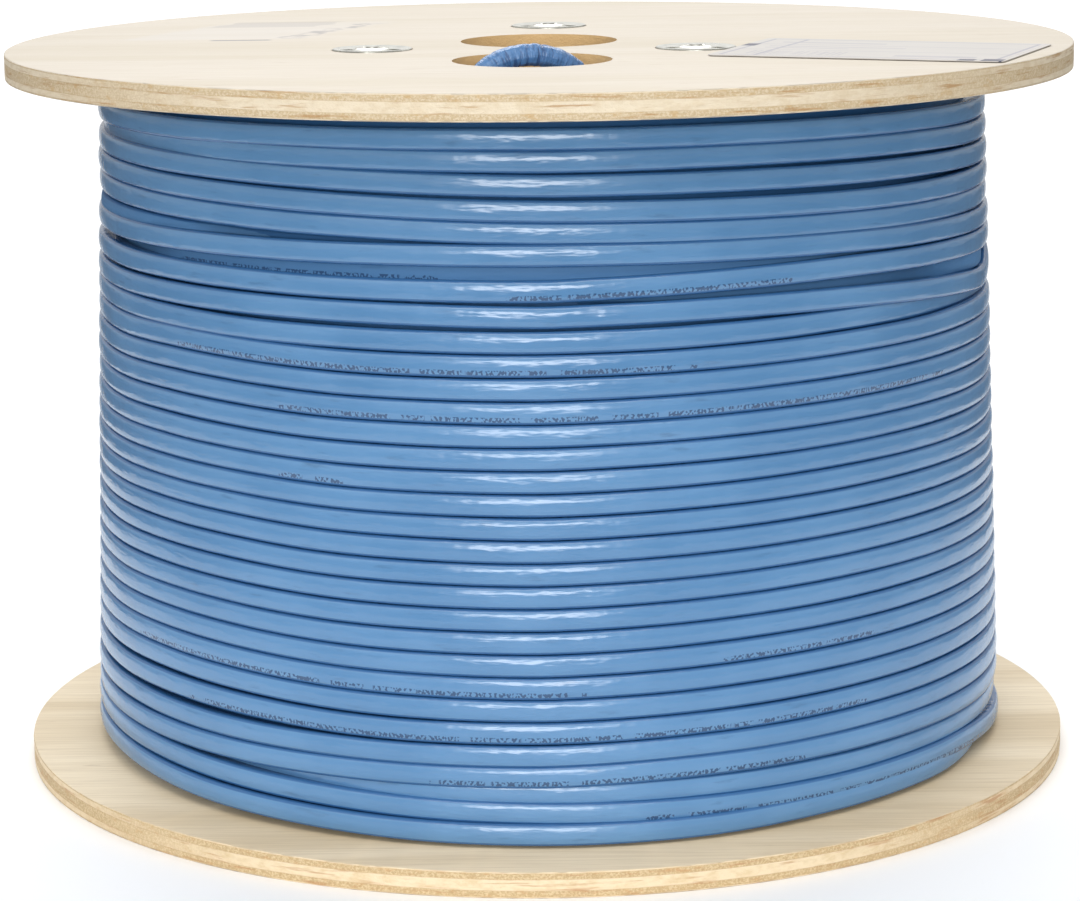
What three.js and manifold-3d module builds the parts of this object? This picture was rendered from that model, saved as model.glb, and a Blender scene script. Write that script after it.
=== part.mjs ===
// A plywood cable reel, standing on one flange and fully wound with one length of round data cable.
// Units are millimetres. +Z is the reel's axis, and the origin is on that axis at the resting face.
// The cable's start end comes up through a hole in the top flange (towards -Y), arches over the
// drum wall and hangs down inside the drum.
import * as THREE from 'three';
import { mergeVertices } from 'three/addons/utils/BufferGeometryUtils.js';
import Module from 'manifold-3d';

const wasm = await Module();
wasm.setup();

// Clearance between two pieces that touch on the real reel.
const GAP = 0.3;

// Flanges: 16 in plywood discs, 3/8 in thick, a little over 10 in apart.
const FLANGE_RADIUS = 406.4 / 2;
const FLANGE_THICKNESS = 9.5;
const FLANGE_EDGE_CHAMFER = 0.6;
const TRAVERSE = 256;
const TOP_INNER_FACE = FLANGE_THICKNESS + TRAVERSE;
const TOP_FACE = TOP_INNER_FACE + FLANGE_THICKNESS;

// Holes in the flanges. The start hole is in the top flange only and straddles the drum wall.
const ARBOR_HOLE_RADIUS = 30;
const START_HOLE_RADIUS = 29;
const START_HOLE_X = -2.5;
const START_HOLE_Y = -82;

// Drum: a fibre tube whose ends sit in a groove in each flange's inner face.
const DRUM_OUTER_RADIUS = 86;
const DRUM_WALL = 4.5;
const DRUM_GROOVE_DEPTH = 2.5;

// Three tie bolts clamp the flanges onto the drum.
const BOLT_CIRCLE_RADIUS = 70;
const BOLT_COUNT = 3;
const FIRST_BOLT_ANGLE = THREE.MathUtils.degToRad(86.7);
const BOLT_RADIUS = 3.175;
const BOLT_END_CHAMFER = 0.8;
const BOLT_HEAD_RADIUS = 7.5;
const BOLT_HEAD_HEIGHT = 2.9;
const BOLT_HEAD_RECESS = 0.4;
const DRIVE_SLOT_LENGTH = 7;
const DRIVE_SLOT_WIDTH = 1.4;
const DRIVE_SLOT_DEPTH = 1.6;

// A flat washer under each bolt head, in a counterbore in the bottom flange.
const WASHER_RADIUS = 14.5;
const WASHER_THICKNESS = 1.6;
const COUNTERBORE_RADIUS = WASHER_RADIUS + GAP;
const COUNTERBORE_DEPTH = BOLT_HEAD_RECESS + BOLT_HEAD_HEIGHT + WASHER_THICKNESS + 2 * GAP;

// A tee nut on each bolt's upper end: a wide disc, a raised collar, a barrel and three prongs.
// The clamping load has pressed the disc into the face veneer, so it stands only a little proud.
const TEE_SEAT_DEPTH = 0.9;
const TEE_DISC_RADIUS = 15;
const TEE_DISC_THICKNESS = 1.1;
const TEE_COLLAR_RADIUS = 6.5;
const TEE_COLLAR_HEIGHT = 0.4;
const TEE_BARREL_RADIUS = 4.6;
const TEE_BARREL_LENGTH = 8;
const PRONG_COUNT = 3;
const PRONG_DISTANCE = 11;
const PRONG_WIDTH = 3.4;
const PRONG_THICKNESS = 1.2;
const PRONG_LENGTH = 6;
const PRONG_WINDOW_LENGTH = 2.8;
const TEE_SEAT = TOP_FACE - TEE_SEAT_DEPTH;
const BOLT_END = TEE_SEAT + GAP + TEE_DISC_THICKNESS + TEE_COLLAR_HEIGHT + 0.3;

// Cable: about 31 turns a layer. The wound coil is fuller near the bottom flange.
const CABLE_RADIUS = 4;
const WINDING_TOP_RADIUS = 169;
const WINDING_BOTTOM_RADIUS = 178.5;

// Route of the start end, from the winding's first layer to the free end inside the drum.
// Heights are measured from the top flange's outer face.
const START_TAIL_ROUTE = [
  [-21.4, -89.6, -5.2],
  [-19.6, -88.9, -3.3],
  [-16.8, -87.8, -1.3],
  [-12.4, -86.0, 0.6],
  [-6.8, -83.8, 1.7],
  [-1.0, -81.3, 1.6],
  [5.0, -78.7, 0.2],
  [10.6, -76.0, -2.8],
  [15.2, -73.8, -7.4],
  [18.2, -72.3, -13.4],
  [19.8, -71.8, -20.0],
  [21.4, -71.6, -32.0],
  [24.4, -70.6, -55.0],
  [28.6, -68.8, -85.0],
  [33.4, -66.2, -118.0],
  [37.6, -63.4, -150.0],
  [40.4, -60.8, -182.0],
  [41.4, -59.2, -208.0],
];
const START_TAIL_STEPS = 56;
const START_TAIL_SIDES = 10;

// Paper label on the top flange, its long side turned a little from the radius.
const LABEL_LENGTH = 110;
const LABEL_WIDTH = 74;
const LABEL_THICKNESS = 0.3;
const LABEL_CORNER_RADIUS = 3;
const LABEL_X = 125.2;
const LABEL_Y = -62.8;
const LABEL_TURN = THREE.MathUtils.degToRad(-22);

const RIM_SEGMENTS = 96;
const HOLE_SEGMENTS = 48;
const SMALL_SEGMENTS = 24;

// ---- Geometry helpers ----

function solidOf(geometry) {
  const bare = geometry.clone();
  bare.deleteAttribute('normal');
  bare.deleteAttribute('uv');
  const merged = mergeVertices(bare, 1e-4);
  return new wasm.Manifold(new wasm.Mesh({
    numProp: 3,
    vertProperties: new Float32Array(merged.attributes.position.array),
    triVerts: new Uint32Array(merged.index.array),
  }));
}

function geometryOf(solid) {
  const mesh = solid.getMesh();
  const geometry = new THREE.BufferGeometry();
  geometry.setAttribute('position', new THREE.BufferAttribute(mesh.vertProperties, 3));
  geometry.setIndex(new THREE.BufferAttribute(mesh.triVerts, 1));
  geometry.computeVertexNormals();
  return geometry;
}

// A solid of revolution about +Z. The outline is a list of [radius, height] going anticlockwise.
// Unless it starts and ends on the axis, it is closed on itself.
function turned(outline, segments) {
  const points = outline.map(([radius, height]) => new THREE.Vector2(radius, height));
  if (points[0].x > 0) {
    points.push(points[0].clone());
  }
  return new THREE.LatheGeometry(points, segments).rotateX(Math.PI / 2);
}

function upright(radius, low, high, segments) {
  return new THREE.CylinderGeometry(radius, radius, high - low, segments)
    .rotateX(Math.PI / 2)
    .translate(0, 0, (low + high) / 2);
}

function block(sizeX, sizeY, low, high) {
  return new THREE.BoxGeometry(sizeX, sizeY, high - low).translate(0, 0, (low + high) / 2);
}

function onBoltCircle(geometry, index) {
  const angle = FIRST_BOLT_ANGLE + (index * 2 * Math.PI) / BOLT_COUNT;
  const x = BOLT_CIRCLE_RADIUS * Math.cos(angle);
  const y = BOLT_CIRCLE_RADIUS * Math.sin(angle);
  return geometry.rotateZ(angle).translate(x, y, 0);
}

function onProngCircle(geometry, distance, index) {
  return geometry.translate(distance, 0, 0).rotateZ((index * 2 * Math.PI) / PRONG_COUNT);
}

function named(name, geometry, material) {
  const mesh = new THREE.Mesh(geometry, material);
  mesh.name = name;
  return mesh;
}

// ---- Materials ----

function plywood() {
  return new THREE.MeshStandardMaterial({ color: 0xeadfc8, roughness: 0.7, metalness: 0 });
}

function fibreboard() {
  return new THREE.MeshStandardMaterial({ color: 0xb08d63, roughness: 0.9, metalness: 0 });
}

function zincPlate() {
  return new THREE.MeshStandardMaterial({ color: 0xd4d7d8, roughness: 0.3, metalness: 0.9 });
}

function cableJacket() {
  return new THREE.MeshStandardMaterial({ color: 0x5f97cf, roughness: 0.4, metalness: 0 });
}

function paper() {
  return new THREE.MeshStandardMaterial({ color: 0xeeeef0, roughness: 0.6, metalness: 0 });
}

// ---- Sub-parts ----

function flangeBlank(low) {
  const high = low + FLANGE_THICKNESS;
  const outline = [
    [ARBOR_HOLE_RADIUS, low],
    [FLANGE_RADIUS - FLANGE_EDGE_CHAMFER, low],
    [FLANGE_RADIUS, low + FLANGE_EDGE_CHAMFER],
    [FLANGE_RADIUS, high - FLANGE_EDGE_CHAMFER],
    [FLANGE_RADIUS - FLANGE_EDGE_CHAMFER, high],
    [ARBOR_HOLE_RADIUS, high],
  ];
  return solidOf(turned(outline, RIM_SEGMENTS));
}

function drumGroove(low, high) {
  const inner = DRUM_OUTER_RADIUS - DRUM_WALL - GAP;
  const outer = DRUM_OUTER_RADIUS + GAP;
  return solidOf(turned([[inner, low], [outer, low], [outer, high], [inner, high]], RIM_SEGMENTS));
}

function bottomFlange() {
  const grooveFloor = FLANGE_THICKNESS - DRUM_GROOVE_DEPTH;
  let flange = flangeBlank(0).subtract(drumGroove(grooveFloor, FLANGE_THICKNESS + 1));
  for (let index = 0; index < BOLT_COUNT; index += 1) {
    const boltHole = upright(BOLT_RADIUS + GAP, -1, FLANGE_THICKNESS + 1, SMALL_SEGMENTS);
    const counterbore = upright(COUNTERBORE_RADIUS, -1, COUNTERBORE_DEPTH, SMALL_SEGMENTS);
    flange = flange.subtract(solidOf(onBoltCircle(boltHole, index)));
    flange = flange.subtract(solidOf(onBoltCircle(counterbore, index)));
  }
  return named('bottom_flange', geometryOf(flange), plywood());
}

function topFlange() {
  const grooveFloor = TOP_INNER_FACE + DRUM_GROOVE_DEPTH;
  const startHole = upright(START_HOLE_RADIUS, TOP_INNER_FACE - 1, TOP_FACE + 1, HOLE_SEGMENTS)
    .translate(START_HOLE_X, START_HOLE_Y, 0);
  let flange = flangeBlank(TOP_INNER_FACE)
    .subtract(drumGroove(TOP_INNER_FACE - 1, grooveFloor))
    .subtract(solidOf(startHole));
  for (let index = 0; index < BOLT_COUNT; index += 1) {
    const barrelHole = upright(TEE_BARREL_RADIUS + GAP, TOP_INNER_FACE - 1, TOP_FACE + 1, SMALL_SEGMENTS);
    const seat = upright(TEE_DISC_RADIUS + GAP, TEE_SEAT, TOP_FACE + 1, HOLE_SEGMENTS);
    flange = flange.subtract(solidOf(onBoltCircle(barrelHole, index)));
    flange = flange.subtract(solidOf(onBoltCircle(seat, index)));
    for (let prong = 0; prong < PRONG_COUNT; prong += 1) {
      const slot = block(PRONG_THICKNESS + 2 * GAP, PRONG_WIDTH + 2 * GAP,
        TEE_SEAT - PRONG_LENGTH - GAP, TOP_FACE + 1);
      flange = flange.subtract(solidOf(onBoltCircle(onProngCircle(slot, PRONG_DISTANCE, prong), index)));
    }
  }
  return named('top_flange', geometryOf(flange), plywood());
}

function drum() {
  const inner = DRUM_OUTER_RADIUS - DRUM_WALL;
  const low = FLANGE_THICKNESS - DRUM_GROOVE_DEPTH + GAP;
  const high = TOP_INNER_FACE + DRUM_GROOVE_DEPTH - GAP;
  const outline = [[inner, low], [DRUM_OUTER_RADIUS, low], [DRUM_OUTER_RADIUS, high], [inner, high]];
  return named('drum_tube', geometryOf(solidOf(turned(outline, RIM_SEGMENTS))), fibreboard());
}

// The bolt's head is at the bottom, with a low dome and a cross-shaped drive recess.
function tieBolt(index) {
  const headLow = BOLT_HEAD_RECESS;
  const headHigh = headLow + BOLT_HEAD_HEIGHT;
  const outline = [
    [0, headLow],
    [BOLT_HEAD_RADIUS * 0.6, headLow + 0.2],
    [BOLT_HEAD_RADIUS * 0.9, headLow + 1],
    [BOLT_HEAD_RADIUS, headLow + 2],
    [BOLT_HEAD_RADIUS, headHigh],
    [BOLT_RADIUS, headHigh],
    [BOLT_RADIUS, BOLT_END - BOLT_END_CHAMFER],
    [BOLT_RADIUS - BOLT_END_CHAMFER, BOLT_END],
    [0, BOLT_END],
  ];
  const slotLow = headLow - 1;
  const slotHigh = headLow + DRIVE_SLOT_DEPTH;
  const bolt = solidOf(turned(outline, SMALL_SEGMENTS))
    .subtract(solidOf(block(DRIVE_SLOT_LENGTH, DRIVE_SLOT_WIDTH, slotLow, slotHigh)))
    .subtract(solidOf(block(DRIVE_SLOT_WIDTH, DRIVE_SLOT_LENGTH, slotLow, slotHigh)));
  return named(`tie_bolt_${index + 1}`, onBoltCircle(geometryOf(bolt), index), zincPlate());
}

function boltWasher(index) {
  const low = BOLT_HEAD_RECESS + BOLT_HEAD_HEIGHT + GAP;
  const high = low + WASHER_THICKNESS;
  const hole = BOLT_RADIUS + GAP;
  const outline = [[hole, low], [WASHER_RADIUS, low], [WASHER_RADIUS, high], [hole, high]];
  const washer = onBoltCircle(turned(outline, SMALL_SEGMENTS), index);
  return named(`bolt_washer_${index + 1}`, geometryOf(solidOf(washer)), zincPlate());
}

// Each prong is bent down out of the disc, which leaves a window beside it.
function teeNut(index) {
  const discLow = TEE_SEAT + GAP;
  const discHigh = discLow + TEE_DISC_THICKNESS;
  const collarHigh = discHigh + TEE_COLLAR_HEIGHT;
  const bore = BOLT_RADIUS + GAP;
  const outline = [
    [bore, discLow - TEE_BARREL_LENGTH],
    [TEE_BARREL_RADIUS, discLow - TEE_BARREL_LENGTH],
    [TEE_BARREL_RADIUS, discLow],
    [TEE_DISC_RADIUS - 0.3, discLow],
    [TEE_DISC_RADIUS, discLow + 0.3],
    [TEE_DISC_RADIUS, discHigh - 0.3],
    [TEE_DISC_RADIUS - 0.3, discHigh],
    [TEE_COLLAR_RADIUS, discHigh],
    [TEE_COLLAR_RADIUS - 0.5, collarHigh],
    [bore, collarHigh],
  ];
  let nut = solidOf(turned(outline, SMALL_SEGMENTS));
  const windowCentre = PRONG_DISTANCE - PRONG_THICKNESS / 2 - PRONG_WINDOW_LENGTH / 2;
  for (let prong = 0; prong < PRONG_COUNT; prong += 1) {
    const opening = block(PRONG_WINDOW_LENGTH, PRONG_WIDTH, discLow - 1, discHigh + 1);
    const blade = block(PRONG_THICKNESS, PRONG_WIDTH, TEE_SEAT - PRONG_LENGTH, discHigh - 0.2);
    nut = nut.subtract(solidOf(onProngCircle(opening, windowCentre, prong)));
    nut = nut.add(solidOf(onProngCircle(blade, PRONG_DISTANCE, prong)));
  }
  return named(`tee_nut_${index + 1}`, onBoltCircle(geometryOf(nut), index), zincPlate());
}

// The wound cable as one closed ring of its outer shape.
function cableWinding() {
  const inner = DRUM_OUTER_RADIUS + GAP;
  const low = FLANGE_THICKNESS + GAP;
  const high = TOP_INNER_FACE - GAP;
  const outline = [[inner, low], [WINDING_BOTTOM_RADIUS, low], [WINDING_TOP_RADIUS, high], [inner, high]];
  return named('cable_winding', geometryOf(solidOf(turned(outline, RIM_SEGMENTS))), cableJacket());
}

function cableStartTail() {
  const route = START_TAIL_ROUTE.map(([x, y, z]) => new THREE.Vector3(x, y, TOP_FACE + z));
  const section = new THREE.Shape();
  for (let side = 0; side < START_TAIL_SIDES; side += 1) {
    const angle = (side * 2 * Math.PI) / START_TAIL_SIDES;
    const x = CABLE_RADIUS * Math.cos(angle);
    const y = CABLE_RADIUS * Math.sin(angle);
    if (side === 0) {
      section.moveTo(x, y);
    } else {
      section.lineTo(x, y);
    }
  }
  const tube = new THREE.ExtrudeGeometry(section, {
    steps: START_TAIL_STEPS,
    extrudePath: new THREE.CatmullRomCurve3(route, false, 'centripetal'),
  });
  return named('cable_start_tail', geometryOf(solidOf(tube)), cableJacket());
}

function spoolLabel() {
  const halfLength = LABEL_LENGTH / 2;
  const halfWidth = LABEL_WIDTH / 2;
  const corner = LABEL_CORNER_RADIUS;
  const outline = new THREE.Shape();
  outline.moveTo(-halfLength + corner, -halfWidth);
  outline.lineTo(halfLength - corner, -halfWidth);
  outline.absarc(halfLength - corner, -halfWidth + corner, corner, -Math.PI / 2, 0);
  outline.lineTo(halfLength, halfWidth - corner);
  outline.absarc(halfLength - corner, halfWidth - corner, corner, 0, Math.PI / 2);
  outline.lineTo(-halfLength + corner, halfWidth);
  outline.absarc(-halfLength + corner, halfWidth - corner, corner, Math.PI / 2, Math.PI);
  outline.lineTo(-halfLength, -halfWidth + corner);
  outline.absarc(-halfLength + corner, -halfWidth + corner, corner, Math.PI, 1.5 * Math.PI);
  const sheet = new THREE.ExtrudeGeometry(outline, {
    depth: LABEL_THICKNESS,
    bevelEnabled: false,
    curveSegments: 6,
  })
    .rotateZ(LABEL_TURN)
    .translate(LABEL_X, LABEL_Y, TOP_FACE + GAP);
  return named('spool_label', geometryOf(solidOf(sheet)), paper());
}

// ---- The reel ----

const reel = new THREE.Group();
reel.add(bottomFlange(), topFlange(), drum(), cableWinding(), cableStartTail(), spoolLabel());
for (let index = 0; index < BOLT_COUNT; index += 1) {
  reel.add(tieBolt(index), boltWasher(index), teeNut(index));
}

export default reel;
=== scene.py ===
"""A plywood cable reel, fully wound with round blue data cable, standing on a pale studio floor.

Units are metres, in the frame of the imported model: +Z is the reel's axis, z = 0 is the floor, and the
camera looks from -Y. An azimuth on the winding is measured from -Y, growing towards +X.
"""

from math import asin, atan2, cos, degrees, pi, radians, sin, sqrt

import bmesh
import bpy
from mathutils import Matrix, Vector, noise


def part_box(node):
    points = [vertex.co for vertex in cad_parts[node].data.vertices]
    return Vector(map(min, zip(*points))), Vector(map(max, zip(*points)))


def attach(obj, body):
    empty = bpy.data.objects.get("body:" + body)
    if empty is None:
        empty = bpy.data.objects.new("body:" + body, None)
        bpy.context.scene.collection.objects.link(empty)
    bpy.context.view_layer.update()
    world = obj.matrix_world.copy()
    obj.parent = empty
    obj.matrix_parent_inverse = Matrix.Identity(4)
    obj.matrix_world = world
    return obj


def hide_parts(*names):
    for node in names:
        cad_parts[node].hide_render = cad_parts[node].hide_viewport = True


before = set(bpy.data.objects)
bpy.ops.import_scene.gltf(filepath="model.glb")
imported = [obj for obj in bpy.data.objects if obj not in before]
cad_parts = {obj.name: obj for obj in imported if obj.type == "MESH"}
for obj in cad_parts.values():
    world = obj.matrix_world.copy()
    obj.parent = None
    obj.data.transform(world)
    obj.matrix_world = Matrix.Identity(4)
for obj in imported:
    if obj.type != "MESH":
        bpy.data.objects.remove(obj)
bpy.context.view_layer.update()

BODY = "root"
MM = 0.001

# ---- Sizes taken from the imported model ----

BOTTOM_LOW, BOTTOM_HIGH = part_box("bottom_flange")
TOP_LOW, TOP_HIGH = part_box("top_flange")
FLANGE_RADIUS = TOP_HIGH[0]
FLANGE_THICKNESS = TOP_HIGH[2] - TOP_LOW[2]
DRUM_LOW, DRUM_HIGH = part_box("drum_tube")
DRUM_RADIUS = DRUM_HIGH[0]
BOTTOM_INNER_FACE = BOTTOM_HIGH[2]
TOP_INNER_FACE = TOP_LOW[2]
TOP_FACE = TOP_HIGH[2]
BOLT_COUNT = 3


def middle_of(node):
    low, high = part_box(node)
    return Vector(((low[0] + high[0]) / 2, (low[1] + high[1]) / 2, (low[2] + high[2]) / 2))


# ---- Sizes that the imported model's boxes don't give ----

ARBOR_HOLE_RADIUS = 30 * MM
START_HOLE_RADIUS = 29 * MM
START_HOLE_CENTRE = Vector((-2.5 * MM, -82 * MM, 0))
DRUM_WALL = 4.5 * MM
DRUM_GROOVE_DEPTH = 2.5 * MM
CLEARANCE = 0.3 * MM
BOLT_RADIUS = 3.175 * MM
BOLT_HEAD_RADIUS = 7.5 * MM
COUNTERBORE_RADIUS = 14.8 * MM
COUNTERBORE_DEPTH = 5.5 * MM
TEE_BARREL_RADIUS = 4.6 * MM
TEE_BARREL_LENGTH = 8 * MM
TEE_DISC_RADIUS = 15 * MM
TEE_SEAT_DEPTH = 0.9 * MM
PRONG_LENGTH = 6 * MM

CABLE_RADIUS = 4 * MM
CROWN_WIDTH = 5.65 * MM
TURN_COUNT = 31


# ---- Camera ----

def add_object(name, data):
    made = bpy.data.objects.new(name, data)
    bpy.context.scene.collection.objects.link(made)
    return made


def add_camera():
    data = bpy.data.cameras.new("camera")
    camera = add_object("camera", data)
    data.sensor_width = 36
    data.lens = 112.16
    data.shift_x = -0.0035
    data.shift_y = 0.0007
    data.clip_end = 100
    place = (0, -1.2972, 0.3839)
    look_down = radians(11.76)
    roll = radians(-0.69)
    camera.matrix_world = (
        Matrix.Translation(place)
        @ Matrix.Rotation(pi / 2 - look_down, 4, "X")
        @ Matrix.Rotation(roll, 4, "Z")
    )
    bpy.context.scene.camera = camera


add_camera()


# ---- Node helpers ----

class Nodes:
    """A small helper that adds nodes to one node tree."""

    def __init__(self, tree):
        self.tree = tree

    def node(self, kind, settings=None, **inputs):
        made = self.tree.nodes.new(kind)
        for name, value in (settings or {}).items():
            setattr(made, name, value)
        for name, value in inputs.items():
            self.put(value, made.inputs[name.replace("_", " ")])
        return made

    def put(self, value, socket):
        if isinstance(value, bpy.types.NodeSocket):
            self.tree.links.new(value, socket)
        else:
            socket.default_value = value

    def maths(self, operation, *values):
        made = self.node("ShaderNodeMath", {"operation": operation})
        for index, value in enumerate(values):
            self.put(value, made.inputs[index])
        return made.outputs[0]

    def vector_maths(self, operation, *values):
        made = self.node("ShaderNodeVectorMath", {"operation": operation})
        for index, value in enumerate(values):
            self.put(value, made.inputs[index])
        return made

    def times(self, first, second):
        return self.maths("MULTIPLY", first, second)

    def inverse(self, value):
        """0 where value is 1, and 1 where it is 0."""
        return self.maths("SUBTRACT", 1.0, value)

    def largest(self, first, *others):
        for other in others:
            first = self.maths("MAXIMUM", first, other)
        return first

    def distance(self, value, at):
        return self.maths("ABSOLUTE", self.maths("SUBTRACT", value, at))

    def step(self, value, low, high, shape="SMOOTHSTEP"):
        """0 below low and 1 above high, smooth between them unless the shape is LINEAR."""
        made = self.node("ShaderNodeMapRange", {"interpolation_type": shape}, Value=value)
        made.inputs["From Min"].default_value = low
        made.inputs["From Max"].default_value = high
        return made.outputs["Result"]

    def band(self, value, at, width, soft):
        """1 in a band of this width around at, fading out over soft on each side."""
        return self.inverse(self.step(self.distance(value, at), width / 2, width / 2 + soft))

    def ridge(self, value, low, full, fade, high):
        """0 up to low, 1 from full to fade, and 0 from high."""
        return self.times(self.step(value, low, full), self.inverse(self.step(value, fade, high)))

    def mix(self, factor, first, second):
        made = self.node("ShaderNodeMix", {"data_type": "RGBA"})
        self.put(factor, made.inputs[0])
        self.put(first, made.inputs[6])
        self.put(second, made.inputs[7])
        return made.outputs[2]

    def place(self):
        return self.node("ShaderNodeTexCoord").outputs["Object"]

    def axes(self, vector):
        """A vector's x, y and z."""
        made = self.node("ShaderNodeSeparateXYZ", Vector=vector)
        return [made.outputs[axis] for axis in "XYZ"]

    def stretched(self, vector, scale, rotation=0.0):
        made = self.node("ShaderNodeMapping", Vector=vector)
        made.inputs["Scale"].default_value = scale
        made.inputs["Rotation"].default_value = (0, 0, rotation)
        return made.outputs["Vector"]

    def noise(self, vector, scale, detail=3.0, roughness=0.5, distortion=0.0):
        """Cloudy noise at one scale, or at three scales along the axes."""
        if isinstance(scale, tuple):
            vector = self.stretched(vector, scale)
            scale = 1
        made = self.node("ShaderNodeTexNoise", Vector=vector, Scale=scale, Detail=detail,
                         Roughness=roughness, Distortion=distortion)
        return made.outputs["Fac"]


class Shader(Nodes):
    """A node material around one Principled shader."""

    def __init__(self, name, roughness, metallic=0.0):
        self.material = bpy.data.materials.new(name)
        self.material.use_nodes = True
        super().__init__(self.material.node_tree)
        self.principled = self.tree.nodes["Principled BSDF"]
        self.principled.inputs["Roughness"].default_value = roughness
        self.principled.inputs["Metallic"].default_value = metallic

    def colour(self, value):
        self.put(value, self.principled.inputs["Base Color"])

    def roughness(self, value):
        self.put(value, self.principled.inputs["Roughness"])

    def bump(self, height, distance):
        made = self.node("ShaderNodeBump", Height=height, Distance=distance, Strength=1.0)
        self.put(made.outputs["Normal"], self.principled.inputs["Normal"])


def rgb(red, green, blue):
    """A colour given as 0 to 255 screen values."""
    def linear(value):
        share = value / 255
        return share / 12.92 if share <= 0.04045 else ((share + 0.055) / 1.055) ** 2.4
    return (linear(red), linear(green), linear(blue), 1.0)


def grey(brightness):
    return (brightness, brightness, brightness, 1)


# ---- Mesh helpers ----

def make_piece(name, verts, faces, material, uvs=None, sharp_angle=35):
    mesh = bpy.data.meshes.new(name)
    mesh.from_pydata([tuple(v) for v in verts], [], faces)
    if uvs is not None:
        layer = mesh.uv_layers.new(name="along")
        for loop, uv in zip(layer.data, uvs):
            loop.uv = uv
    mesh.validate()
    return finish_piece(name, mesh, material, sharp_angle)


def finish_piece(name, mesh, material, sharp_angle=35):
    mesh.polygons.foreach_set("use_smooth", [True] * len(mesh.polygons))
    mesh.set_sharp_from_angle(angle=radians(sharp_angle))
    mesh.materials.clear()
    mesh.materials.append(material)
    piece = add_object(name, mesh)
    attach(piece, BODY)
    return piece


def lathe_mesh(name, outline, segments, closed=True, wobble=None):
    """Turns a list of (radius, height) about +Z. wobble(azimuth, row) moves a row's radius."""
    verts = []
    faces = []
    rows = len(outline)
    for step in range(segments):
        angle = 2 * pi * step / segments
        for row, (radius, height) in enumerate(outline):
            radius += wobble(angle, row) if wobble else 0
            verts.append((radius * cos(angle), radius * sin(angle), height))
    for step in range(segments):
        here = step * rows
        there = ((step + 1) % segments) * rows
        for row in range(rows if closed else rows - 1):
            after = (row + 1) % rows
            faces.append((here + row, there + row, there + after, here + after))
    if not closed:
        faces.append(tuple(step * rows for step in reversed(range(segments))))
        faces.append(tuple(step * rows + rows - 1 for step in range(segments)))
    mesh = bpy.data.meshes.new(name)
    mesh.from_pydata(verts, [], faces)
    return mesh


def cut(mesh, cutters):
    """Cuts each closed mesh in cutters out of mesh, and returns the result."""
    target = add_object("target", mesh)
    for cutter_mesh in cutters:
        cutter = add_object("cutter", cutter_mesh)
        modifier = target.modifiers.new("cut", "BOOLEAN")
        modifier.object = cutter
        modifier.operation = "DIFFERENCE"
        modifier.solver = "EXACT"
        graph = bpy.context.evaluated_depsgraph_get()
        result = bpy.data.meshes.new_from_object(target.evaluated_get(graph))
        target.modifiers.clear()
        target.data = result
        bpy.data.objects.remove(cutter)
    result = target.data
    bpy.data.objects.remove(target)
    return result


def cylinder_mesh(radius, low, high, centre=(0, 0, 0), segments=96):
    mesh = lathe_mesh("cylinder", [(radius, low), (radius, high)], segments, closed=False)
    mesh.transform(Matrix.Translation((centre[0], centre[1], 0)))
    return mesh


def tube(centres, frames, sections, uv_of):
    """Sweeps a closed section along centres. Returns verts, faces and loop UVs.

    frames gives the two directions of each section, sections gives its points as (first, second)
    offsets, and uv_of(index, side) gives a point's place on the surface.
    """
    verts = []
    faces = []
    uvs = []
    sides = len(sections[0])
    for centre, (first, second), section in zip(centres, frames, sections):
        for out, up in section:
            verts.append(centre + first * out + second * up)
    for index in range(len(centres) - 1):
        here = index * sides
        there = here + sides
        for side in range(sides):
            after = (side + 1) % sides
            faces.append((here + side, here + after, there + after, there + side))
            uvs += [uv_of(index, side), uv_of(index, side + 1),
                    uv_of(index + 1, side + 1), uv_of(index + 1, side)]
    faces.append(tuple(reversed(range(sides))))
    uvs += [uv_of(0, side) for side in reversed(range(sides))]
    last = (len(centres) - 1) * sides
    faces.append(tuple(last + side for side in range(sides)))
    uvs += [uv_of(len(centres) - 1, side) for side in range(sides)]
    return verts, faces, uvs


def travelled_along(points):
    """How far along the points each of them lies."""
    travelled = [0.0]
    for before, after in zip(points, points[1:]):
        travelled.append(travelled[-1] + (after - before).length)
    return travelled


def ramp(value, low, high):
    """0 below low and 1 above high, smooth between them."""
    share = min(max((value - low) / (high - low), 0), 1)
    return share * share * (3 - 2 * share)


def bump_between(value, start, full, fade, end):
    return ramp(value, start, full) * (1 - ramp(value, fade, end))


# ---- Materials ----

# A deep blue used as painted shade, in the grooves between the turns and on the buried layers.
PAINTED_SHADE_BLUE = (0.036, 0.126, 0.300, 1)


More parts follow.
